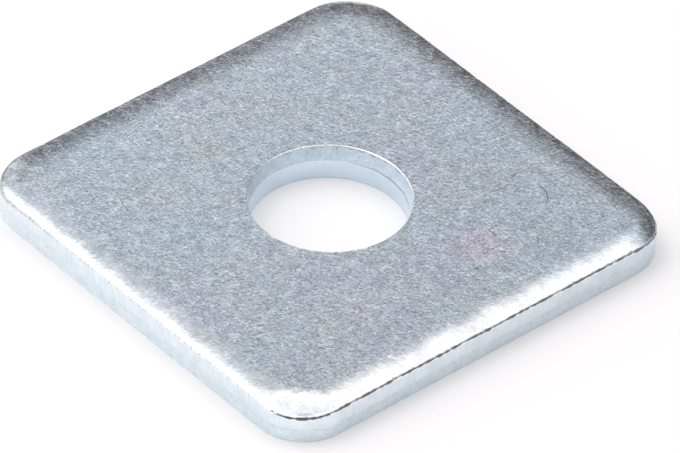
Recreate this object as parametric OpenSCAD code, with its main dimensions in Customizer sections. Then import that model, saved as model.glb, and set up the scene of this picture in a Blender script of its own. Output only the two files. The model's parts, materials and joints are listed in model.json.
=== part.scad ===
// Square plate washer, punched from flat steel and zinc plated. One solid, in millimetres.
// The origin is the centre of the bottom face, on the axis of the hole, with +Z up.
// The top face is the one that met the die: its outer edges are rolled over, deepest at the corners, and its
// hole is torn wide.
// The bottom face is the one that met the punches: its outer edges are torn, and its hole is drawn in.

/* [Plate] */
// Width across the flats of the square
side = 40; // [26:0.5:80]
// Thickness of the flat steel
thickness = 3.2; // [2.8:0.1:8]
// Radius of the four corners, in plan
corner_r = 4.4; // [3.5:0.1:10]

/* [Outer edge] */
// How far the rolled-over top edge reaches in from the side
roll_w = 3.1; // [1.2:0.1:3.4]
// How far the rolled-over top edge drops, at the side
roll_drop = 0.45; // [0.15:0.01:0.8]
// Radius of the nose between the rolled-over edge and the sheared side
nose_r = 0.35; // [0.15:0.05:0.8]
// Height of the torn band at the foot of the side
torn_h = 1.25; // [0.3:0.05:1.6]
// How far the torn band leans in by the bottom face
torn_lean = 0.06; // [0.02:0.01:0.3]

/* [Corners] */
// How far the tip of a corner drops below the rolled-over edge
dip = 0.33; // [0.1:0.01:0.6]
// How far that drop reaches in from the tip, along the diagonal
dip_w = 5.4; // [4:0.1:8]

/* [Hole] */
// Diameter of the smooth, sheared part of the hole
bore_d = 13; // [8:0.1:20]
// Depth of the torn part of the hole, from the top face
tear_h = 1.35; // [0.4:0.05:2.2]
// How much the torn part widens on each side by the top face
tear_flare = 0.2; // [0.04:0.01:0.6]
// How far the drawn-in lip reaches out from the hole, at the bottom face
lip_w = 0.9; // [0.4:0.05:1.6]
// How far the drawn-in lip rises, at the hole
lip_rise = 0.08; // [0.05:0.01:0.5]

/* [Hidden] */
$fn = 96;

// Lap by which an arc stands proud of the face that it leaves, so that the two cross at a slight crease
crease_lap = 0.005;
// Width of the ring of plate that is turned about the hole
ring_w = 2 * lip_w;
// Slack by which a cutting shape passes the face that it cuts
slack = 1;

bore_r = bore_d / 2;
ring_r = bore_r + ring_w;
straight = side - 2 * corner_r;

// A length to the nearest thousandth of a millimetre
function fine(length) = round(1000 * length) / 1000;
// Radius of the arc that leaves a face and has fallen by drop after running out by reach
function arc_r(reach, drop) = fine((reach * reach + drop * drop) / (2 * drop));

roll_r = arc_r(roll_w, roll_drop);
dip_r = arc_r(dip_w, roll_drop + dip);
lip_r = arc_r(lip_w, lip_rise);
// Centre of the roll-over's arc, in the edge's section
roll_c = [corner_r - roll_w, thickness - roll_r];
// Centre of the nose, which touches the side and crosses the roll-over
nose_run = roll_w - nose_r;
nose_reach = roll_r - nose_r + crease_lap;
nose_c = [corner_r - nose_r, fine(roll_c.y + sqrt(nose_reach * nose_reach - nose_run * nose_run))];
// Direction from the roll-over's centre to the nose's
nose_aim = (nose_c - roll_c) / norm(nose_c - roll_c);

// Distance from the plate's axis to the tip of a corner
tip_reach = corner_r + straight / sqrt(2);
// Centre of the corner's arc, in the section along the diagonal
dip_c = [fine(tip_reach - dip_w), thickness - dip_r + crease_lap];

// What lies outside an arc that falls away from the top face, in the section across it
module arc_waste(centre, radius, reach, drop) {
    difference() {
        translate([centre.x, thickness - 2 * drop]) square([reach + slack, 2 * drop + slack]);
        translate(centre) circle(radius);
    }
}

// What lies outside the nose, in the wedge between the roll-over and the side
module nose_waste() {
    far = 4 * nose_r;
    difference() {
        translate(nose_c) polygon([[0, 0], [far, 0], [far, far], far * nose_aim]);
        translate(nose_c) circle(nose_r);
    }
}

// Section of the outer edge, from a corner's centre at x = 0 out to the side at x = corner_r
module edge_section() {
    difference() {
        polygon([
            [0, 0],
            [corner_r - torn_lean, 0],
            [corner_r, torn_h],
            [corner_r, thickness],
            [0, thickness]
        ]);
        arc_waste(roll_c, roll_r, roll_w, roll_drop);
        nose_waste();
    }
}

// Section of the plate round the hole, from the sheared bore out to the ring's rim
module hole_section() {
    difference() {
        polygon([
            [bore_r, 0],
            [ring_r, 0],
            [ring_r, thickness],
            [bore_r + tear_flare, thickness],
            [bore_r, thickness - tear_h]
        ]);
        difference() {
            translate([bore_r - slack, -slack]) square([lip_w + slack, 2 * lip_rise + slack]);
            translate([bore_r + lip_w, lip_r]) circle(lip_r);
        }
    }
}

// One side of the plate and the corner at its end
module edge_and_corner() {
    translate([straight / 2, straight / 2, 0]) rotate([90, 0, 0]) linear_extrude(straight) edge_section();
    translate([straight / 2, straight / 2, 0]) rotate_extrude(angle = 90) edge_section();
}

// What lies above a corner that drops towards its tip
module corner_waste() {
    rotate([90, 0, 45]) linear_extrude(side, center = true) arc_waste(dip_c, dip_r, dip_w, roll_drop + dip);
}

// The flat middle of the plate, open where the ring round the hole sits
module middle() {
    difference() {
        translate([-straight / 2, -straight / 2, 0]) cube([straight, straight, thickness]);
        translate([0, 0, -slack]) cylinder(r = ring_r, h = thickness + 2 * slack);
    }
}

module washer() {
    color("lightsteelblue") difference() {
        union() {
            middle();
            rotate_extrude() hole_section();
            for (turn = [0 : 90 : 270]) rotate([0, 0, turn]) edge_and_corner();
        }
        for (turn = [0 : 90 : 270]) rotate([0, 0, turn]) corner_waste();
    }
}

washer();
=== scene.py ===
import json
import math

import bpy
import numpy as np
from mathutils import Matrix, Vector


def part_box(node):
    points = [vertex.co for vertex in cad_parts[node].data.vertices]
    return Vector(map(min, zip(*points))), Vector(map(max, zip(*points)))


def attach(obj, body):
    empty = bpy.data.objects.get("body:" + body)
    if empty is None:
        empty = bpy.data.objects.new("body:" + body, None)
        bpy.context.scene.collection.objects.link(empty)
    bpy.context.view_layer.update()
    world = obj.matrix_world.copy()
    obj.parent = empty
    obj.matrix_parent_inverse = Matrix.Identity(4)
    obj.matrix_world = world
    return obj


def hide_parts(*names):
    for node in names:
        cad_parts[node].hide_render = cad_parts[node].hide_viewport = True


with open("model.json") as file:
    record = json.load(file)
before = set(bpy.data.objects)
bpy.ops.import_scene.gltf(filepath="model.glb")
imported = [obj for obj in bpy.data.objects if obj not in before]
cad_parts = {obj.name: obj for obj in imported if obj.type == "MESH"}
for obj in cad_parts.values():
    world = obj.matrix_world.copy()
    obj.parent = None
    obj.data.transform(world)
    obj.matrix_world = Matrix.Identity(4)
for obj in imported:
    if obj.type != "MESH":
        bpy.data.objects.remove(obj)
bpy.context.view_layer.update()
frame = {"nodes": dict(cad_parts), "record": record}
mm = 0.001
print("frame loaded:", ", ".join(frame["nodes"]))

# The punched plate, in millimetres, with the form of the solid that it stands for
plateLow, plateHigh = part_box("washer")
boltHole = next(mount for mount in frame["record"]["mounts"] if mount["name"] == "bolt_hole")
plate = {
    "side": (plateHigh[0] - plateLow[0]) / mm,
    "thickness": (plateHigh[2] - plateLow[2]) / mm,
    "cornerRadius": 4.4,
    "rollReach": 3.1,  # rolled-over top edge, in from the side
    "rollDrop": 0.45,
    "dip": 0.29,  # further drop at the tips of the corners
    "dipReach": 0.45,  # further reach of the rolled-over edge there
    "dipBlend": 1.0,  # softens where the further drop begins
    "noseRadius": 0.35,  # between the rolled-over edge and the sheared side
    "tornHeight": 1.25,  # torn band at the foot of the side
    "tornLean": 0.06,
    "tornSink": 0.012,  # how far the torn band lies behind the sheared side
    "footRound": 0.05,
    "boreRadius": boltHole["dims"]["r_mm"],
    "tearHeight": 1.35,  # torn part of the hole, down from the top face
    "tearFlare": 0.2,
    "mouthRound": 0.11,  # on the side of the hole that is most worn
    "mouthLeast": 0.3,  # share of it on the other side
    "mouthAzimuth": 95,
    "mouthFade": (0.8, 0.5),
    "lipReach": 0.9,  # drawn-in lip at the bottom of the hole
    "lipRise": 0.05,
    "stations": 1200,  # points round the plate
}

# Marks of the press and of handling, in millimetres
# An azimuth is in degrees, anticlockwise from +X, and a fade is the slope and the start of how a mark
# weakens away from it
wear = {
    "seed": 11,
    "waves": {  # slowest and fastest waves round the plate in each uneven line
        "tornTop": (2, 60),
        "noseLine": (2, 40),
        "shearDrag": (20, 300),
        "swell": (20, 280),
        "fold": (20, 260),
        "burr": (3, 90),
        "tearFoot": (2, 40),
        "chip": (10, 60),
        "boreDrag": (20, 260),
    },
    "nickCount": 26,
    "nickLength": (0.15, 0.6),
    "nickDepth": (0.008, 0.04),
    "nickSpots": ((20, 10.3), (20, 15.1), (18.4, -19.2), (20, -11.8), (20, -9.5)),
    "noseWander": 0.012,  # how far the nose's line strays up and down
    "noseSwell": (0.003, 0.007),  # all round, and further under the band that is painted dark
    "shadeLineTilt": 64,  # degrees; dark line under the nose, on one side: a band of the nose with a dark finish, a painted dark reflection
    "shadeLineReach": 13.5,  # degrees
    "shadeLineMean": 0.75,  # share of the reach
    "shadeLineSpread": 0.42,
    "shadeLineLimits": (0.04, 1.5),
    "shadeLineAzimuth": 8,
    "shadeLineFade": (1.6, -0.2),
    "shadeLineCorner": -45,  # where it is at its widest
    "shadeLineCornerFade": (3, -2),
    "shadeLineCornerGain": 0.8,
    "tornSkew": 0.15,  # the torn band stands higher on one side
    "tornSkewAzimuth": 225,
    "tornWander": 0.05,  # how far the top of the torn band strays
    "tornGrain": 0.010,
    "tornGrainSpan": (2.2, 1.0),  # size of the grain, in points along the band and rows across it
    "shearDrag": 0.001,  # upright drag lines on the sheared bands
    "tearWander": 0.025,
    "tearGrain": 0.010,
    "tearGrainSpan": (3.0, 1.0),
    "cornerBulge": (0.17, 0.10, 0, 0),  # how far each corner stands out, anticlockwise from +X +Y
    "holeShift": (0.22, 0.11),  # how far off centre the hole was punched
    "seamHeight": 0.16,  # crack between the torn and the sheared part of the hole, on one side
    "seamLeast": 0.1,  # share of it on the other side
    "seamLedge": 0.012,
    "seamAzimuth": 50,
    "seamFade": (1.8, -0.3),
    "chipHeight": 0.26,  # chips under the hole's mouth
    "chipSpread": 0.7,
    "chipLeast": 0.02,
    "chipLip": 0.01,
    "chipAzimuth": 135,
    "burrHeight": 0.012,
}


def outlineStations(side, corner, count):
    straight = side - 2 * corner
    quarter = straight + 0.5 * math.pi * corner
    along = np.arange(count) * 4 * quarter / count
    turn = np.floor(along / quarter)
    run = along - turn * quarter
    angle = np.maximum(run - straight, 0) / corner
    normal = np.stack([np.cos(angle), np.sin(angle)], 1)
    middle = np.stack([np.full(count, straight / 2), np.minimum(run, straight) - straight / 2], 1)
    point = middle + corner * normal
    spin = turn * math.pi / 2
    cosSpin, sinSpin = np.cos(spin)[:, None], np.sin(spin)[:, None]

    def turned(v):
        return np.hstack([v[:, :1] * cosSpin - v[:, 1:] * sinSpin, v[:, :1] * sinSpin + v[:, 1:] * cosSpin])

    return turned(point), turned(normal), along, angle, turn.astype(int)


def softened(values, step, width):  # a run of values round the plate, smoothed over a width
    waves = np.fft.rfftfreq(len(values), step)
    return np.fft.irfft(np.fft.rfft(values) * np.exp(-2 * (math.pi * waves * width) ** 2), len(values))


def ringNoise(rng, count, slowest, fastest):  # closes on itself, rms of 1
    turn = np.arange(count) * 2 * math.pi / count
    total = np.zeros(count)
    for wave in range(slowest, fastest + 1):
        total += rng.normal() * np.cos(wave * turn + rng.uniform(0, 2 * math.pi))
    return total / total.std()


def bandNoise(rng, count, rows, alongSize, acrossSize):  # grain of a band, rms of 1
    waves = np.fft.fft2(rng.standard_normal((count, rows)))
    alongWave = np.fft.fftfreq(count)[:, None] * alongSize
    acrossWave = np.fft.fftfreq(rows)[None, :] * acrossSize
    waves *= np.exp(-2 * math.pi ** 2 * (alongWave ** 2 + acrossWave ** 2))
    grain = np.fft.ifft2(waves).real
    return grain / grain.std()


def nickLine(rng, outline, along, length):  # depth of the nicks at each station
    depth = np.zeros(len(along))
    places = [along[np.argmin(np.linalg.norm(outline - spot, axis=1))] for spot in wear["nickSpots"]]
    places += list(rng.uniform(0, length, wear["nickCount"]))
    for place in places:
        half = rng.uniform(*wear["nickLength"]) / 2
        away = np.abs((along - place + length / 2) % length - length / 2)
        dent = rng.uniform(*wear["nickDepth"]) * np.clip(1 - (away / half) ** 2, 0, 1)
        depth = np.maximum(depth, dent)
    return depth


def sideFacing(directions, azimuth):  # 1 where a direction points to the azimuth, -1 where it points away
    turn = math.radians(azimuth)
    return directions @ np.array([math.cos(turn), math.sin(turn)])


def sideShare(directions, azimuth, fade):  # 1 on one side and 0 on the other
    slope, start = fade
    return np.clip(slope * sideFacing(directions, azimuth) + start, 0, 1)


def plateRows():
    p = plate
    rng = np.random.default_rng(wear["seed"])
    count = p["stations"]
    outline, normal, along, angle, turn = outlineStations(p["side"], p["cornerRadius"], count)
    bulge = np.array(wear["cornerBulge"])[turn] * np.sin(2 * angle) ** 2
    outline = outline + bulge[:, None] * normal
    step = along[1]
    length = along[-1] + step
    top = p["thickness"]
    rows, zones = [], []

    def uneven(line):
        return ringNoise(rng, count, *wear["waves"][line])

    def addRow(xy, z, zone):
        rows.append(np.column_stack([xy, np.broadcast_to(z, (count,))]))
        zones.append(zone)

    def inset(depth):
        return outline - np.reshape(np.broadcast_to(depth, (count,)), (count, 1)) * normal

    # the rolled-over edge, which drops deeper at the corners
    bend = softened(np.sin(2 * angle), step, p["dipBlend"])
    reach = p["rollReach"] + p["dipReach"] * bend
    drop = p["rollDrop"] + p["dip"] * bend
    rollRadius = (reach ** 2 + drop ** 2) / (2 * drop)
    noseTilt = np.arcsin((reach - p["noseRadius"]) / (rollRadius - p["noseRadius"]))
    noseHeight = top - rollRadius + (rollRadius - p["noseRadius"]) * np.cos(noseTilt)

    shelf = inset(reach)  # where the flat of the top face begins
    aim = shelf / np.linalg.norm(shelf, axis=1)[:, None]

    def ring(radius):
        return wear["holeShift"] + np.reshape(np.broadcast_to(radius, (count,)), (count, 1)) * aim

    # bottom face, out from the hole's lip
    lipOut = ring(p["boreRadius"] + p["lipReach"])
    foot = inset(p["tornLean"] + p["footRound"])
    for share in (0, 0.02, 0.5, 0.98):
        addRow(lipOut + share * (foot - lipOut), 0, "under")

    # small round at the foot, then the torn band
    for lift in (0, 30, 60):
        a = math.radians(lift)
        depth = p["tornLean"] + p["footRound"] * (1 - math.sin(a))
        addRow(inset(depth), p["footRound"] * (1 - math.cos(a)), "torn")
    skew = wear["tornSkew"] * sideFacing(normal, wear["tornSkewAzimuth"])
    tornTop = p["tornHeight"] + skew + wear["tornWander"] * uneven("tornTop")
    tornRows = 9
    grain = bandNoise(rng, count, tornRows, *wear["tornGrainSpan"])
    for row in range(tornRows):
        share = row / (tornRows - 1)
        bite = wear["tornGrain"] * grain[:, row] * math.sin(math.pi * share)
        height = p["footRound"] + share * (tornTop - p["footRound"])
        addRow(inset(p["tornLean"] * (1 - share) + p["tornSink"] + bite), height, "torn")

    # sheared side
    wander = wear["noseWander"] * uneven("noseLine")
    noseFoot = noseHeight + wander
    drag = wear["shearDrag"] * uneven("shearDrag")
    for share in (0.03, 0.12, 0.5, 0.88, 0.97):
        addRow(inset(drag * math.sin(math.pi * share)), tornTop + share * (noseFoot - tornTop), "sheared")

    # nose, nicked by handling
    nicks = nickLine(rng, outline, along, length)
    shadeLineFacing = sideShare(normal, wear["shadeLineAzimuth"], wear["shadeLineFade"])
    shadeLineFacing *= 1 + wear["shadeLineCornerGain"] * sideShare(normal, wear["shadeLineCorner"], wear["shadeLineCornerFade"])
    swellAll, swellShadeLine = wear["noseSwell"]
    swell = uneven("swell") * (swellAll + swellShadeLine * shadeLineFacing)
    shadeLineShare = shadeLineFacing * (wear["shadeLineMean"] + wear["shadeLineSpread"] * uneven("fold"))
    shadeLineReach = wear["shadeLineReach"] * np.clip(shadeLineShare, *wear["shadeLineLimits"])
    shadeLineLow, shadeLineHigh = (np.radians(wear["shadeLineTilt"] + side * shadeLineReach) for side in (1, -1))

    def addNose(tilt, zone):
        bite = (nicks + swell) * np.sin(math.pi * (math.pi / 2 - tilt) / (math.pi / 2 - noseTilt))
        depth = p["noseRadius"] * (1 - np.sin(tilt)) + bite * np.sin(tilt)
        addRow(inset(depth), noseFoot + (p["noseRadius"] - bite) * np.cos(tilt), zone)

    addNose(np.full(count, math.pi / 2), "nose")
    # the band from here to the next row has the dark finish: a painted dark reflection under the nose
    addNose(shadeLineLow, "fold")
    noseRows = 9
    for row in range(noseRows):
        share = row / (noseRows - 1)
        addNose(shadeLineHigh + share * (noseTilt - shadeLineHigh), "nose" if row < noseRows - 1 else "face")

    # rolled-over edge
    rollRows = 10
    for row in range(1, rollRows):
        share = row / rollRows
        tilt = noseTilt * (1 - share)
        height = top - rollRadius * (1 - np.cos(tilt)) + wander * (1 - share)
        addRow(inset(reach - rollRadius * np.sin(tilt)), height, "face")

    # top face, in to the hole's mouth
    mouth = p["boreRadius"] + p["tearFlare"]
    burr = wear["burrHeight"] * np.clip(0.5 + 0.5 * uneven("burr"), 0, 1)
    worn = sideShare(aim, p["mouthAzimuth"], p["mouthFade"])
    mouthRound = p["mouthRound"] * (p["mouthLeast"] + (1 - p["mouthLeast"]) * worn)
    burrRows = ((3, 0), (2, 0.3), (1.3, 1))  # distance out from the mouth, in rounds, and share of the burr
    brow = ring(mouth + burrRows[0][0] * mouthRound)
    for share in (0, 0.12, 0.4, 0.7, 0.96):
        addRow(shelf + share * (brow - shelf), top, "face")
    for rounds, share in burrRows:
        addRow(ring(mouth + rounds * mouthRound), top + share * burr, "face")
    for tilt in (0, 20, 40, 60, 80):
        a = math.radians(tilt)
        radius = mouth + mouthRound * (1 - math.sin(a))
        addRow(ring(radius), top + burr - mouthRound * (1 - math.cos(a)), "mouth")

    # torn part of the hole, chipped under its mouth
    tearFoot = top - p["tearHeight"] + wear["tearWander"] * uneven("tearFoot")
    chipFacing = np.clip(sideFacing(aim, wear["chipAzimuth"]), 0, 1) ** 2
    chipShare = np.clip(wear["chipSpread"] * uneven("chip"), wear["chipLeast"], 1)
    chip = wear["chipHeight"] * chipFacing * chipShare
    tearHead = top - mouthRound
    addRow(ring(mouth), tearHead, "chip")
    tearRows = 10
    grain = bandNoise(rng, count, tearRows, *wear["tearGrainSpan"])
    tearStart = tearHead - wear["chipLip"] - chip
    for row in range(tearRows):
        share = row / tearRows
        height = tearStart + share * (tearFoot - tearStart)
        bite = wear["tearGrain"] * grain[:, row] * math.sin(math.pi * share)
        radius = p["boreRadius"] + p["tearFlare"] * (height - tearFoot) / (tearHead - tearFoot) + bite
        addRow(ring(radius), height, "boreTorn")

    # crack, then the sheared part of the hole and its lip
    crack = sideShare(aim, wear["seamAzimuth"], wear["seamFade"])
    seam = wear["seamHeight"] * np.maximum(crack, wear["seamLeast"])
    addRow(ring(p["boreRadius"] + wear["seamLedge"] * crack), tearFoot, "seam")
    shearHead = tearFoot - seam
    lipRadius = (p["lipReach"] ** 2 + p["lipRise"] ** 2) / (2 * p["lipRise"])
    boreDrag = wear["shearDrag"] * uneven("boreDrag")
    for share in (0, 0.12, 0.5, 0.85, 0.98):
        height = shearHead + share * (p["lipRise"] - shearHead)
        addRow(ring(p["boreRadius"] + boreDrag * math.sin(math.pi * share)), height, "boreSheared")
    lipTilt = math.asin(p["lipReach"] / lipRadius)
    for share in (0, 0.25, 0.5, 0.75):
        tilt = lipTilt * (1 - share)
        radius = p["boreRadius"] + p["lipReach"] - lipRadius * math.sin(tilt)
        addRow(ring(radius), lipRadius * (1 - math.cos(tilt)), "boreSheared")
    return np.array(rows), zones


def plateMesh(name, finishes):
    rows, zones = plateRows()
    rowCount, count, _ = rows.shape
    mesh = bpy.data.meshes.new(name)
    station = np.arange(count)
    nextStation = (station + 1) % count
    quads = []
    for row in range(rowCount):
        here, after = row * count, ((row + 1) % rowCount) * count
        corners = [here + station, here + nextStation, after + nextStation, after + station]
        quads.append(np.stack(corners, 1))
    mesh.from_pydata((rows.reshape(-1, 3) * mm).tolist(), [], np.concatenate(quads).tolist())
    order = list(finishes)
    for finish in finishes.values():
        mesh.materials.append(finish)
    slots = np.repeat([order.index(zone) for zone in zones], count)
    mesh.polygons.foreach_set("material_index", slots.astype(np.int32))
    mesh.polygons.foreach_set("use_smooth", np.ones(len(slots), dtype=bool))
    mesh.update()
    piece = bpy.data.objects.new(name, mesh)
    bpy.context.scene.collection.objects.link(piece)
    return piece


# Zinc plate on steel: what the finishes share, then a dictionary for each band that the press left
zinc = {
    "stretch": (1, 1, 1),
    "grainShadeShift": (0.10, -0.10, 0),  # from the painted light flank of the grain to its painted dark one
    "grainHold": 0.5,  # how strong the painted dark flank is
    "grainCurl": 0.6,
    "mottleSize": 1.0,  # mm
    "mottleTone": 0.3,
    "mottleRise": 0.008,  # mm
    "cloudSize": 6.25,  # mm; clouds of tint and polish
    "polishSwing": 0.15,
    "tints": (  # faint tints of the passivation, from one cloud to the next
        (0.30, (0.97, 1.0, 1.02)),
        (0.45, (1.0, 1.0, 1.0)),
        (0.56, (1.04, 1.0, 0.97)),
        (0.68, (1.02, 0.97, 1.01)),
    ),
}
faceFinish = zinc | {
    "name": "zincFace",
    "color": (0.625, 0.705, 0.79),
    "roughness": 0.15,
    "grainSize": 0.22,  # mm
    "grainAndShadeTone": 1.75,  # how far the grain and its painted light and dark flanks lighten and darken the metal
    "grainRise": 0.004,  # mm
    "grainHold": 0.25,
    "grainCurl": 1.0,
    "mottleTone": 0.7,
    "mottleRise": 0.012,
    "chalk": 0.35,  # how dull the crests of the grain are
    "chalkBand": (0.03, 0.3),  # where it sets in and is at its full, above the middle of the relief
    "paintedSideShading": (188, 0.07, 18),  # azimuth of the side with painted light, how much brighter, reach in mm; the far side gets painted shade
    "tint": 0.8,
    "edge": {  # the rolled-over edge: burnished in front, so its painted grain shading is weaker there; at the back, blotches of painted light and shade where it reflects the dark room
        "start": 0.01,  # mm below the top face
        "grainDrop": 0.1,  # mm below the top face, where its grain is at its full
        "grainHold": (0.4, 1.2),  # share of the grain's tone and painted shading, in front and at the back
        "sootDrop": 0.25,  # the same for the painted blotches
        "soot": 0.2,  # how far the painted blotches darken and lighten
        "blotch": (0.4, 0.6),  # mottle that gives the darkest and the lightest
        "backAzimuth": 135,
        "backBlend": 3,  # mm either side of the plate's middle
    },
    "stainAndShadePatches": (  # place on the top face, size, tint; stains of the plating, and the last one painted shade
        ((12.1, 5.6), 3.4, (1.10, 0.95, 0.99)),
        ((12.5, -7.1), 1.8, (1.05, 0.99, 0.99)),
        ((12.6, -10.8), 1.6, (1.06, 1.00, 0.95)),
        ((-10.5, -3.8), 2.6, (1.05, 1.02, 0.94)),
        ((-11.7, 11.3), 1.6, (1.06, 1.00, 0.98)),
        # painted shade: darkens the back corner's rolled-over edge
        ((-18.6, 18.6), 2.8, (0.84, 0.79, 0.76)),
    ),
    "patchCore": 0.2,  # share of its size that is fully tinted
    "scratchesAndGlints": (  # from, to, width, tone; a tone above 1 is a painted glint along the scratch, and the third line is a painted shadow beside the first
        ((2.5, 13.8), (3.07, 17.1), 0.06, 1.45),
        ((2.5, 13.8), (2.79, 15.4), 0.07, 1.3),
        ((2.86, 13.8), (3.0, 14.8), 0.08, 0.7),
        ((9.6, -15.8), (9.9, -14.8), 0.13, 1.7),
        ((9.1, 14.5), (10.35, 14.35), 0.08, 0.6),
        ((10.35, 14.35), (11.15, 13.85), 0.08, 0.55),
        ((11.15, 13.85), (11.65, 13.15), 0.08, 0.55),
        ((7.7, 10.9), (7.9, 12.7), 0.08, 0.65),
        ((11.0, 7.5), (11.8, 7.6), 0.09, 0.65),
        ((14.3, 10.0), (14.8, 9.6), 0.10, 0.55),
        ((-9.8, -13.3), (-8.6, -13.6), 0.08, 0.6),
        ((-10.9, -18.1), (-9.4, -16.3), 0.08, 1.3),
        ((14.2, 3.6), (14.2, 3.7), 0.16, 0.6),
        ((8.3, 9.5), (8.3, 9.6), 0.14, 0.6),
    ),
    "scratchCore": 0.3,
}
topOnly = ("edge", "stainAndShadePatches", "patchCore", "scratchesAndGlints", "scratchCore")
underFinish = {key: value for key, value in faceFinish.items() if key not in topOnly}
underFinish["name"] = "zincUnder"
shearedFinish = zinc | {
    "name": "zincSheared",
    "color": (0.73, 0.81, 0.865),
    "roughness": 0.20,
    "stretch": (1, 1, 0.12),
    "grainSize": 0.30,
    "grainAndShadeTone": 0.15,
    "grainRise": 0.003,
    "grainCurl": 0.3,
    "mottleSize": 1.5,
    "mottleTone": 0.25,
    "paintedSideShading": (250, 0.07, 18),
    "tint": 0.4,
}
tornFinish = zinc | {
    "name": "zincTorn",
    "color": (0.74, 0.83, 0.875),
    "roughness": 0.32,
    "grainSize": 0.24,
    "grainAndShadeTone": 0.3,
    "grainRise": 0.010,
    "paintedSideShading": (215, 0.06, 18),
    "tint": 0.4,
}
noseFinish = zinc | {
    "name": "zincNose",
    "color": (0.555, 0.595, 0.635),
    "roughness": 0.26,
    "grainSize": 0.24,
    "grainAndShadeTone": 0.9,
    "grainRise": 0.012,
    "mottleTone": 0.5,
    "mottleRise": 0.02,
    # painted light on the front of the nose, painted shade on its back
    "paintedSideShading": (318, 0.45, 6.5),
    "tint": 0.4,
}
mouthFinish = zinc | {
    "name": "zincMouth",
    "color": (0.74, 0.78, 0.82),
    "roughness": 0.2,
    "grainSize": 0.22,
    "grainAndShadeTone": 0.8,
    "grainRise": 0.004,
    "mottleTone": 0.25,
    "paintedSideShading": (70, 0.15, 6.5),
    "tint": 0.3,
}
boreTornFinish = zinc | {
    "name": "zincBoreTorn",
    "color": (0.60, 0.715, 0.80),
    "roughness": 0.32,
    "grainSize": 0.24,
    "grainAndShadeTone": 0.35,
    "grainRise": 0.010,
    "paintedSideShading": (35, 0.2, 6.5),
    "tint": 0.3,
}
boreShearedFinish = zinc | {
    "name": "zincBoreSheared",
    "color": (0.69, 0.80, 0.895),
    "roughness": 0.20,
    "stretch": (1, 1, 0.12),
    "grainSize": 0.30,
    "grainAndShadeTone": 0.10,
    "grainRise": 0.002,
    "grainCurl": 0.3,
    "mottleSize": 1.5,
    "mottleTone": 0.15,
    "tint": 0.2,
}
seamFinish = zinc | {
    "name": "zincSeam",
    # dark: painted shade in the crack
    "color": (0.40, 0.46, 0.51),
    "roughness": 0.40,
    "grainSize": 0.20,
    "grainAndShadeTone": 0.4,
    "grainRise": 0.008,
    "tint": 0.2,
}
# dark finish for the band under the nose: a painted dark reflection
shadeLineFinish = seamFinish | {"name": "zincShadeLine", "color": (0.23, 0.24, 0.255)}
# dark: painted shade on the chips' faces under the mouth
chipFinish = seamFinish | {"name": "zincChip", "color": (0.42, 0.50, 0.52)}


def aimOf(azimuth, elevation):
    turn, lift = math.radians(azimuth), math.radians(elevation)
    return Vector((math.cos(turn) * math.cos(lift), math.sin(turn) * math.cos(lift), math.sin(lift)))


def addNode(tree, kind, place, **values):
    node = tree.nodes.new(kind)
    node.location = place
    for key, value in values.items():
        if key in node.inputs:
            node.inputs[key].default_value = value
        else:
            setattr(node, key, value)
    return node


def fillRamp(ramp, stops):
    marks = ramp.color_ramp.elements
    marks.remove(marks[1])
    for stop, (spot, shade) in enumerate(stops):
        mark = marks[0] if stop == 0 else marks.new(spot)
        mark.position = spot
        mark.color = (*shade, 1)


def mapRange(tree, value, fromMin, fromMax, toMin, toMax, place, smooth=False):
    kind = "SMOOTHSTEP" if smooth else "LINEAR"
    node = addNode(tree, "ShaderNodeMapRange", place, interpolation_type=kind)
    limits = {"From Min": fromMin, "From Max": fromMax, "To Min": toMin, "To Max": toMax}
    for socket, number in limits.items():
        node.inputs[socket].default_value = number
    tree.links.new(value, node.inputs["Value"])
    return node.outputs["Result"]


def tinted(tree, color, mask, tint, place):  # the colour times a tint, where the mask says
    mix = addNode(tree, "ShaderNodeMix", place, data_type="RGBA", blend_type="MULTIPLY")
    tree.links.new(mask, mix.inputs["Factor"])
    tree.links.new(color, mix.inputs["A"])
    mix.inputs["B"].default_value = (*tint, 1)
    return mix.outputs["Result"]


def lineMask(tree, spot, start, end, core, width, place):  # 1 on a line between two points of the top face
    x, y = place
    run = Vector((end[0] - start[0], end[1] - start[1], 0))
    away = addNode(tree, "ShaderNodeVectorMath", (x, y), operation="SUBTRACT")
    tree.links.new(spot, away.inputs[0])
    away.inputs[1].default_value = (*start, plate["thickness"])
    share = addNode(tree, "ShaderNodeVectorMath", (x + 160, y), operation="DOT_PRODUCT")
    tree.links.new(away.outputs[0], share.inputs[0])
    share.inputs[1].default_value = run / run.length_squared
    held = mapRange(tree, share.outputs["Value"], 0, 1, 0, 1, (x + 320, y))
    along = addNode(tree, "ShaderNodeVectorMath", (x + 480, y), operation="SCALE")
    along.inputs[0].default_value = run
    tree.links.new(held, along.inputs["Scale"])
    gap = addNode(tree, "ShaderNodeVectorMath", (x + 640, y), operation="DISTANCE")
    tree.links.new(away.outputs[0], gap.inputs[0])
    tree.links.new(along.outputs[0], gap.inputs[1])
    return mapRange(tree, gap.outputs["Value"], core, width, 1, 0, (x + 800, y), smooth=True)


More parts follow.
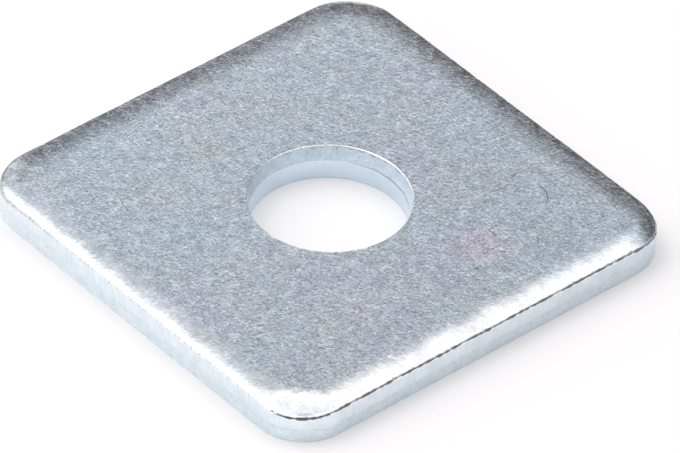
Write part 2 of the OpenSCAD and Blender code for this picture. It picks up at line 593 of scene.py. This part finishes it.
def zincFinish(look):
    material = bpy.data.materials.new(look["name"])
    material.use_nodes = True
    tree = material.node_tree
    link = tree.links.new
    shader = tree.nodes["Principled BSDF"]
    shader.inputs["Metallic"].default_value = 1.0
    place = addNode(tree, "ShaderNodeTexCoord", (-2400, 0))
    inMm = addNode(tree, "ShaderNodeVectorMath", (-2200, 0), operation="SCALE", Scale=1 / mm)
    link(place.outputs["Object"], inMm.inputs[0])
    spot = inMm.outputs[0]

    # fine relief of the plated surface, painted into the colour as painted shading: a light flank and a
    # dark flank, as if lit from above
    drawn = addNode(tree, "ShaderNodeVectorMath", (-2200, -250), operation="MULTIPLY")
    link(spot, drawn.inputs[0])
    drawn.inputs[1].default_value = look["stretch"]
    shift = addNode(tree, "ShaderNodeVectorMath", (-2050, -250), operation="ADD")
    link(drawn.outputs[0], shift.inputs[0])
    shift.inputs[1].default_value = look["grainShadeShift"]
    flanks = []
    for row, at in enumerate((drawn.outputs[0], shift.outputs[0])):
        flank = addNode(tree, "ShaderNodeTexNoise", (-1850, -150 - 250 * row), Scale=1 / look["grainSize"],
                        Detail=1.0, Roughness=0.45, Distortion=look["grainCurl"])
        link(at, flank.inputs["Vector"])
        flanks.append(flank.outputs["Fac"])
    embossedShade = addNode(tree, "ShaderNodeMath", (-1650, -200), operation="MULTIPLY_ADD")
    link(flanks[1], embossedShade.inputs[0])
    embossedShade.inputs[1].default_value = -look["grainHold"]
    link(flanks[0], embossedShade.inputs[2])
    mottle = addNode(tree, "ShaderNodeTexNoise", (-1850, -700), Scale=1 / look["mottleSize"],
                     Detail=2.0, Roughness=0.6)
    link(spot, mottle.inputs["Vector"])
    waves = addNode(tree, "ShaderNodeBump", (-500, -400), Strength=1.0, Distance=look["mottleRise"] * mm)
    link(mottle.outputs["Fac"], waves.inputs["Height"])
    bump = addNode(tree, "ShaderNodeBump", (-300, -300), Strength=1.0, Distance=look["grainRise"] * mm)
    link(flanks[0], bump.inputs["Height"])
    link(waves.outputs["Normal"], bump.inputs["Normal"])
    link(bump.outputs["Normal"], shader.inputs["Normal"])

    # crests that are chalky rather than bright
    level = (1 - look["grainHold"]) / 2  # middle of the painted relief shading
    if "chalk" in look:
        low, high = (level + step for step in look["chalkBand"])
        bare = mapRange(tree, embossedShade.outputs[0], low, high, 1, 1 - look["chalk"], (-1450, -900))
        link(bare, shader.inputs["Metallic"])

    # clouds of faint tint
    cloud = addNode(tree, "ShaderNodeTexNoise", (-1900, 250), Scale=1 / look["cloudSize"],
                    Detail=3.0, Roughness=0.55)
    link(spot, cloud.inputs["Vector"])
    tints = addNode(tree, "ShaderNodeValToRGB", (-1650, 250))
    stops = []
    for stop, shade in look["tints"]:
        faint = [1 + look["tint"] * (share - 1) for share in shade]
        stops.append((stop, [channel * share for channel, share in zip(look["color"], faint)]))
    fillRamp(tints, stops)
    link(cloud.outputs["Fac"], tints.inputs["Fac"])
    color = tints.outputs["Color"]

    # grain with its painted light and dark flanks, and mottle, that lighten and darken
    spread = look["mottleTone"] / 2
    shadeOffset = addNode(tree, "ShaderNodeMath", (-1650, -50), operation="SUBTRACT")
    link(embossedShade.outputs[0], shadeOffset.inputs[0])
    shadeOffset.inputs[1].default_value = level
    grainShadeFactor = addNode(tree, "ShaderNodeMath", (-1450, -100), operation="MULTIPLY_ADD")
    link(shadeOffset.outputs[0], grainShadeFactor.inputs[0])
    grainShadeFactor.inputs[1].default_value = look["grainAndShadeTone"]
    grainShadeFactor.inputs[2].default_value = 1.0
    broad = mapRange(tree, mottle.outputs["Fac"], 0, 1, 1 - spread, 1 + spread, (-1450, -500))
    if "edge" in look:  # the rolled-over edge, by the height and by the distance behind the plate's middle
        edge = look["edge"]
        parts = addNode(tree, "ShaderNodeSeparateXYZ", (-1850, 50))
        link(spot, parts.inputs[0])
        behind = addNode(tree, "ShaderNodeVectorMath", (-2050, 400), operation="DOT_PRODUCT")
        link(spot, behind.inputs[0])
        behind.inputs[1].default_value = aimOf(edge["backAzimuth"], 0)
        back, height = behind.outputs["Value"], parts.outputs["Z"]
        half = edge["backBlend"]
        full = look["grainAndShadeTone"]
        top = plate["thickness"]
        flat = top - edge["start"]
        frontTone, backTone = (share * full for share in edge["grainHold"])
        edgeTone = mapRange(tree, back, -half, half, frontTone, backTone, (-1850, 400))
        gain = mapRange(tree, height, top - edge["grainDrop"], flat, 0, full, (-1650, 50))
        link(edgeTone, gain.node.inputs["To Min"])
        link(gain, grainShadeFactor.inputs[1])
        # blotches of painted light and shade, at the back of the rolled-over edge only
        shadeBlotchBySide = mapRange(tree, back, -half, half, 0, edge["soot"], (-1850, 600))
        soot = mapRange(tree, height, top - edge["sootDrop"], flat, 0, 0, (-1650, 600))
        link(shadeBlotchBySide, soot.node.inputs["To Min"])
        blotch = mapRange(tree, mottle.outputs["Fac"], *edge["blotch"], -1, 1, (-1650, 800))
        blotchedShade = addNode(tree, "ShaderNodeMath", (-1450, 500), operation="MULTIPLY_ADD")
        link(soot, blotchedShade.inputs[0])
        link(blotch, blotchedShade.inputs[1])
        link(broad, blotchedShade.inputs[2])
        broad = blotchedShade.outputs[0]
    tone = addNode(tree, "ShaderNodeMath", (-1250, -200), operation="MULTIPLY")
    link(grainShadeFactor.outputs[0], tone.inputs[0])
    link(broad, tone.inputs[1])
    shaded = addNode(tree, "ShaderNodeVectorMath", (-1050, 150), operation="SCALE")
    link(color, shaded.inputs[0])
    link(tone.outputs[0], shaded.inputs["Scale"])
    color = shaded.outputs[0]

    # painted light on one side and painted shade on the other
    if "paintedSideShading" in look:
        azimuth, swing, reach = look["paintedSideShading"]
        facing = addNode(tree, "ShaderNodeVectorMath", (-1450, 700), operation="DOT_PRODUCT")
        link(spot, facing.inputs[0])
        facing.inputs[1].default_value = aimOf(azimuth, 0) / reach
        gain = mapRange(tree, facing.outputs["Value"], -1, 1, 1 - swing, 1 + swing, (-1250, 700))
        paintedSideShading = addNode(tree, "ShaderNodeVectorMath", (-1050, 700), operation="SCALE")
        link(color, paintedSideShading.inputs[0])
        link(gain, paintedSideShading.inputs["Scale"])
        color = paintedSideShading.outputs[0]

    # patches of stain and of painted shade, and scratches drawn with painted glints and a painted shadow
    for number, (middle, size, tint) in enumerate(look.get("stainAndShadePatches", ())):
        y = 500 + 150 * number
        gap = addNode(tree, "ShaderNodeVectorMath", (-1350, y), operation="DISTANCE")
        link(spot, gap.inputs[0])
        gap.inputs[1].default_value = (*middle, plate["thickness"])
        core = look["patchCore"] * size
        mask = mapRange(tree, gap.outputs["Value"], core, size, 1, 0, (-1150, y), smooth=True)
        color = tinted(tree, color, mask, tint, (-950, y))
    for number, (start, end, width, strength) in enumerate(look.get("scratchesAndGlints", ())):
        y = -600 - 200 * number
        mask = lineMask(tree, spot, start, end, look["scratchCore"] * width, width, (-2000, y))
        color = tinted(tree, color, mask, (strength, strength, strength), (-900, y))
    link(color, shader.inputs["Base Color"])

    # polish that comes and goes
    smoothest, roughest = (look["roughness"] * (1 + side * look["polishSwing"]) for side in (-1, 1))
    polish = mapRange(tree, cloud.outputs["Fac"], 0, 1, smoothest, roughest, (-900, -50))
    link(polish, shader.inputs["Roughness"])
    return material


finishes = {
    "face": zincFinish(faceFinish),
    "under": zincFinish(underFinish),
    "sheared": zincFinish(shearedFinish),
    "torn": zincFinish(tornFinish),
    "nose": zincFinish(noseFinish),
    "fold": zincFinish(shadeLineFinish),
    "mouth": zincFinish(mouthFinish),
    "boreTorn": zincFinish(boreTornFinish),
    "boreSheared": zincFinish(boreShearedFinish),
    "seam": zincFinish(seamFinish),
    "chip": zincFinish(chipFinish),
}
print("finishes made:", ", ".join(finish.name for finish in finishes.values()))

washer = plateMesh("punched_plate", finishes)
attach(washer, "root")
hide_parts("washer")
print("plate made:", len(washer.data.polygons), "faces")

# Pale floor, which the metal shows too
floorLook = {
    "width": 3.0,  # m
    "gap": 0.7,  # mm inside the plate's rim, from where the floor is open to show the plate's back
    "stations": 128,
    "color": (0.93, 0.955, 1.0),
    "glow": 0.12,  # share of plain white that the eye and the metal see
}


def paleFloor():
    count, gap = floorLook["stations"], floorLook["gap"]
    inner = outlineStations(plate["side"] - 2 * gap, plate["cornerRadius"] - gap, count)[0] * mm
    outer = inner / np.linalg.norm(inner, axis=1)[:, None] * floorLook["width"] / 2
    turn = np.arange(count) * 2 * math.pi / count
    cover = (plate["boreRadius"] + gap) * np.stack([np.cos(turn), np.sin(turn)], 1) + wear["holeShift"]
    points = np.vstack([inner, outer, cover * mm])
    here = np.arange(count)
    after = (here + 1) % count
    rim = np.stack([here, here + count, after + count, after], 1).tolist()
    mesh = bpy.data.meshes.new("floor")
    mesh.from_pydata([(x, y, 0) for x, y in points], [], rim + [(here + 2 * count).tolist()])
    floor = bpy.data.objects.new("floor", mesh)
    bpy.context.scene.collection.objects.link(floor)
    material = bpy.data.materials.new("paleFloor")
    material.use_nodes = True
    tree = material.node_tree
    link = tree.links.new
    tree.nodes.remove(tree.nodes["Principled BSDF"])
    card = addNode(tree, "ShaderNodeBsdfDiffuse", (-200, 100), Color=(*floorLook["color"], 1))
    glow = addNode(tree, "ShaderNodeEmission", (-200, -50), Color=(1, 1, 1, 1), Strength=1.0)
    path = addNode(tree, "ShaderNodeLightPath", (-900, 300))
    seen = addNode(tree, "ShaderNodeMath", (-650, 250), operation="MAXIMUM")
    link(path.outputs["Is Camera Ray"], seen.inputs[0])
    link(path.outputs["Is Glossy Ray"], seen.inputs[1])
    shown = addNode(tree, "ShaderNodeMath", (-500, 250), operation="MAXIMUM")
    link(seen.outputs[0], shown.inputs[0])
    link(path.outputs["Is Transmission Ray"], shown.inputs[1])
    share = addNode(tree, "ShaderNodeMath", (-350, 250), operation="MULTIPLY")
    link(shown.outputs[0], share.inputs[0])
    share.inputs[1].default_value = floorLook["glow"]
    mix = addNode(tree, "ShaderNodeMixShader", (0, 100))
    link(share.outputs[0], mix.inputs["Fac"])
    link(card.outputs[0], mix.inputs[1])
    link(glow.outputs[0], mix.inputs[2])
    link(mix.outputs[0], tree.nodes["Material Output"].inputs["Surface"])
    mesh.materials.append(material)
    return floor


paleFloor()

# Soft studio light: a room that is dark low down and bright overhead, with a wide soft lamp on the left
room = {
    "level": 1.88,
    "leftAzimuth": 205,  # degrees anticlockwise from +X, seen from above
    "lowStops": (  # from the right of the room to the left, at the height of the plate
        (0.31, (0.26, 0.25, 0.25)),
        (0.42, (0.068, 0.065, 0.065)),
        (0.50, (0.075, 0.072, 0.072)),
        (0.60, (0.113, 0.106, 0.104)),
        (0.64, (0.126, 0.120, 0.117)),
        (0.69, (0.143, 0.136, 0.143)),
        (0.72, (0.154, 0.146, 0.155)),
        (0.768, (0.154, 0.146, 0.153)),
        (0.81, (0.29, 0.28, 0.28)),
        (0.85, (0.29, 0.28, 0.28)),
        (0.90, (0.06, 0.058, 0.058)),  # behind the lamp on the left, whose light is added to it
    ),
    "highStops": (  # from low to overhead, by the sine of the height
        (0.33, (0.173, 0.165, 0.172)),
        (0.40, (0.203, 0.195, 0.203)),
        (0.50, (0.236, 0.236, 0.236)),
        (0.55, (0.29, 0.293, 0.296)),
        (0.616, (0.366, 0.371, 0.382)),
        (0.66, (0.348, 0.353, 0.364)),
        (0.70, (0.347, 0.347, 0.351)),
        (0.745, (0.412, 0.404, 0.398)),
        (0.76, (0.520, 0.490, 0.466)),
        (0.79, (0.79, 0.725, 0.675)),
        (0.81, (0.99, 0.91, 0.86)),
        (0.865, (0.98, 0.915, 0.875)),
        (0.91, (0.84, 0.795, 0.765)),
        (0.975, (0.80, 0.76, 0.735)),
        (0.991, (0.52, 0.505, 0.49)),  # gap in the light, straight overhead
    ),
    "highLean": 4,  # degrees that the bright overhead leans to the right
    "frontAzimuth": 318,  # where it is dimmer
    "frontReach": (0.15, 0.6),  # where the dimming sets in and ends, as a share of pointing there
    "frontDim": 0.55,
    "blend": (0.25, 0.50),  # heights between which the low tones give way to the high ones
}
# Cards on the room's wall, behind on the right, with soft rims: a dark one, and a pale one above it
wallCards = (
    {
        "azimuth": 103,
        "elevation": 29,
        "reach": (3, 18),  # degrees from its middle to where it starts to fade, and to where it ends
        "shade": (0.08, 0.076, 0.076),
        "blend": "MIX",
    },
    {
        "azimuth": 110,
        "elevation": 46,
        "reach": (1, 10.5),
        "shade": (0.20, 0.19, 0.18),
        "blend": "ADD",
    },
)
sideLamp = {
    "azimuth": 232,
    "elevation": 8,
    "distance": 0.6,  # m
    "shift": 0.246,  # m to the right, seen from the plate
    "lift": 0.62,  # m up
    "width": 1.39,
    "height": 1.45,
    "color": (1.0, 0.94, 0.88),
    "power": 6.2,
}
# A small card beside it, which lights one corner's rolled-over edge
cornerLamp = {
    "azimuth": 167.5,
    "elevation": 28,
    "distance": 0.6,
    "shift": 0,
    "lift": 0,
    "width": 0.10,
    "height": 0.20,
    "color": (1.0, 0.94, 0.88),
    "power": 0.025,
}


def lightRoom():
    world = bpy.data.worlds.new("studio")
    bpy.context.scene.world = world
    world.use_nodes = True
    tree = world.node_tree
    link = tree.links.new
    back = tree.nodes["Background"]
    back.inputs["Strength"].default_value = room["level"]
    aim = addNode(tree, "ShaderNodeTexCoord", (-1300, 0))

    def along(direction, place):
        dot = addNode(tree, "ShaderNodeVectorMath", place, operation="DOT_PRODUCT")
        link(aim.outputs["Generated"], dot.inputs[0])
        dot.inputs[1].default_value = direction
        return dot.outputs["Value"]

    side = mapRange(tree, along(aimOf(room["leftAzimuth"], 0), (-1050, 200)), -1, 1, 0, 1, (-850, 200))
    low = addNode(tree, "ShaderNodeValToRGB", (-650, 200))
    fillRamp(low, room["lowStops"])
    link(side, low.inputs["Fac"])
    height = along(aimOf(room["leftAzimuth"] + 180, 90 - room["highLean"]), (-1050, -200))
    high = addNode(tree, "ShaderNodeValToRGB", (-650, -100))
    fillRamp(high, room["highStops"])
    link(height, high.inputs["Fac"])
    front = along(aimOf(room["frontAzimuth"], 0), (-1050, 500))
    dim = mapRange(tree, front, *room["frontReach"], 1, room["frontDim"], (-850, 500), smooth=True)
    dimmed = addNode(tree, "ShaderNodeVectorMath", (-450, -100), operation="SCALE")
    link(high.outputs["Color"], dimmed.inputs[0])
    link(dim, dimmed.inputs["Scale"])
    rise = mapRange(tree, height, *room["blend"], 0, 1, (-650, -400), smooth=True)
    mix = addNode(tree, "ShaderNodeMix", (-300, 0), data_type="RGBA")
    link(rise, mix.inputs["Factor"])
    link(low.outputs["Color"], mix.inputs["A"])
    link(dimmed.outputs[0], mix.inputs["B"])
    shown = mix.outputs["Result"]
    for number, card in enumerate(wallCards):
        y = -600 - 300 * number
        near = along(aimOf(card["azimuth"], card["elevation"]), (-1050, y))
        inner, outer = (math.cos(math.radians(reach)) for reach in card["reach"])
        mask = mapRange(tree, near, outer, inner, 0, 1, (-650, y), smooth=True)
        laid = addNode(tree, "ShaderNodeMix", (-100, y), data_type="RGBA", blend_type=card["blend"])
        link(mask, laid.inputs["Factor"])
        link(shown, laid.inputs["A"])
        laid.inputs["B"].default_value = (*card["shade"], 1)
        shown = laid.outputs["Result"]
    link(shown, back.inputs["Color"])


def softLamp(name, look):
    data = bpy.data.lights.new(name, "AREA")
    data.shape = "RECTANGLE"
    data.size, data.size_y = look["width"], look["height"]
    data.color = look["color"]
    data.energy = look["power"]
    away = aimOf(look["azimuth"], look["elevation"])
    lamp = bpy.data.objects.new(name, data)
    right = aimOf(look["azimuth"] - 90, 0)
    lamp.location = away * look["distance"] + right * look["shift"] + right.cross(away) * look["lift"]
    lamp.rotation_euler = (-away).to_track_quat("-Z", "Y").to_euler()
    bpy.context.scene.collection.objects.link(lamp)
    return lamp


lightRoom()
softLamp("sideLamp", sideLamp)
softLamp("cornerLamp", cornerLamp)
print("light set")

# Camera, from the picture's perspective
viewpoint = {
    "azimuth": 48.474,  # degrees, with 0 looking along +Y
    "elevation": 39.724,
    "roll": 2.044,
    "lens": 474.06,  # mm
    "sensor": 36,
    "clip": (0.01, 20),  # m
    "distance": 721.6,  # mm to the centre of the bottom face
    "right": 1.134,  # mm that the camera stands off that centre
    "up": 0.128,
}


def placeCamera():
    turn, lift, roll = (math.radians(viewpoint[key]) for key in ("azimuth", "elevation", "roll"))
    back = Vector((math.sin(turn) * math.cos(lift), -math.cos(turn) * math.cos(lift), math.sin(lift)))
    level = Vector((math.cos(turn), math.sin(turn), 0))
    rise = back.cross(level)
    right = math.cos(roll) * level + math.sin(roll) * rise
    up = math.cos(roll) * rise - math.sin(roll) * level
    spot = mm * (viewpoint["distance"] * back + viewpoint["right"] * right + viewpoint["up"] * up)
    data = bpy.data.cameras.new("camera")
    data.lens = viewpoint["lens"]
    data.sensor_width = viewpoint["sensor"]
    data.clip_start, data.clip_end = viewpoint["clip"]
    camera = bpy.data.objects.new("camera", data)
    camera.matrix_world = Matrix.Translation(spot) @ Matrix((right, up, back)).transposed().to_4x4()
    bpy.context.scene.collection.objects.link(camera)
    bpy.context.scene.camera = camera


placeCamera()
bpy.context.scene.view_settings.view_transform = "Standard"
print("camera placed")

bpy.context.view_layer.update()
